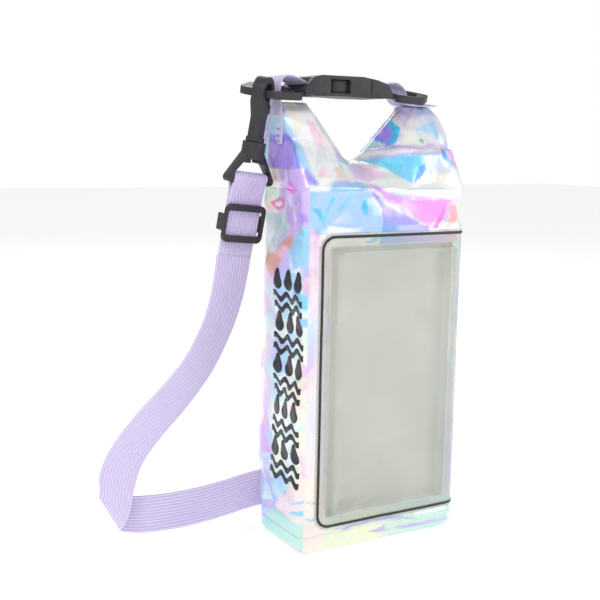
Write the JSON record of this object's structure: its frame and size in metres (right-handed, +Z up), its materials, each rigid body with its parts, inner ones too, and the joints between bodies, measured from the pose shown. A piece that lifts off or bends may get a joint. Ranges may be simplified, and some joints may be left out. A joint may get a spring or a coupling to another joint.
{
  "type": "dry bag",
  "caption": "Small roll-top dry bag with a clear phone window, a buckled carrying handle with two rings, and a webbing strap on a swivel hook.",
  "frame": {"origin": "middle of the base, on the ground", "axes": "+Z up, -Y towards the front with the window, +X to the right seen from the front"},
  "size_m": [0.2243, 0.0952, 0.2915],
  "materials": {
    "holographic_film": "pearly holographic film, glossy",
    "clear_film": "clear soft film, glossy",
    "inner_sheet": "grey-green translucent sheet, satin",
    "black_print": "black print, satin",
    "lavender_webbing": "ribbed woven webbing",
    "lavender_thread": "sewing thread",
    "black_moulding": "moulded plastic, fine matte grain",
    "white_strip": "smooth strip"
  },
  "bodies": {
    "bag": {"body_shell": "holographic_film", "base_panel": "holographic_film", "base_weld_tape": "inner_sheet", "back_seam": "holographic_film", "window_panel": "clear_film", "window_frame_print": "black_print", "side_print": "black_print", "phone_sleeve": "inner_sheet", "mouth_fold": "holographic_film", "mouth_stiffener": "white_strip", "ear_webbing_left": "lavender_webbing", "ear_webbing_right": "lavender_webbing", "bartack_stitching": "lavender_thread", "buckle_female": "black_moulding", "hook_base": "black_moulding", "strap": "lavender_webbing", "strap_return": "lavender_webbing", "strap_end_loop": "lavender_webbing", "anchor_patch": "holographic_film", "anchor_loop": "lavender_webbing"},
    "male_half": {"buckle_male": "black_moulding"},
    "prong_front": {"buckle_prong_front": "black_moulding"},
    "prong_rear": {"buckle_prong_rear": "black_moulding"},
    "left_ring": {"ring_left": "black_moulding"},
    "right_ring": {"ring_right": "black_moulding"},
    "hook": {"hook_body": "black_moulding"},
    "gate": {"hook_gate": "black_moulding"},
    "slider": {"slider": "black_moulding"},
    "lower_ring": {"anchor_ring": "black_moulding"}
  },
  "joints": [
    {"name": "buckle_release", "type": "slide", "parent": "bag", "child": "male_half", "axis": [1, 0, 0], "range_m": [0, 0.024], "deforming": ["ear_webbing_right"]},
    {"name": "prong_front_squeeze", "type": "hinge", "parent": "male_half", "child": "prong_front", "pos_m": [-0.006, -0.0025, 0.285], "axis": [0, 0, -1], "range_deg": [0, 9], "stiffness_Nm_per_rad": 0.02},
    {"name": "prong_rear_squeeze", "type": "hinge", "parent": "male_half", "child": "prong_rear", "pos_m": [-0.006, 0.0185, 0.285], "axis": [0, 0, 1], "range_deg": [0, 9], "stiffness_Nm_per_rad": 0.02},
    {"name": "left_ring_swing", "type": "hinge", "parent": "bag", "child": "left_ring", "pos_m": [-0.059, 0.008, 0.2816], "axis": [0, 0.9781, 0.2079], "range_deg": [0, 3]},
    {"name": "right_ring_swing", "type": "hinge", "parent": "male_half", "child": "right_ring", "pos_m": [0.014, 0.008, 0.2825], "axis": [-0.0083, -0.9781, -0.2077], "range_deg": [0, 75]},
    {"name": "hook_swivel", "type": "hinge", "parent": "bag", "child": "hook", "pos_m": [-0.087, 0.0047, 0.2265], "axis": [0.1233, -0.102, 0.9871], "range_deg": [-6, 6]},
    {"name": "hook_gate", "type": "hinge", "parent": "hook", "child": "gate", "pos_m": [-0.07689, 0.00355, 0.27121], "axis": [0.6009, -0.7839, -0.1561], "range_deg": [0, 7], "stiffness_Nm_per_rad": 0.05, "springref_deg": -5.73},
    {"name": "slider_slide", "type": "slide", "parent": "bag", "child": "slider", "axis": [0.1233, -0.102, 0.9871], "range_m": [-0.01, 0]},
    {"name": "lower_ring_swing", "type": "hinge", "parent": "bag", "child": "lower_ring", "pos_m": [-0.006, 0.039, 0.023], "axis": [0, 0, 1], "range_deg": [-4, 4]}
  ],
  "couplings": [
    {"joint": "prong_front_squeeze", "follows": "buckle_release", "rad_per_m": 6.5},
    {"joint": "prong_rear_squeeze", "follows": "buckle_release", "rad_per_m": 6.5}
  ]
}
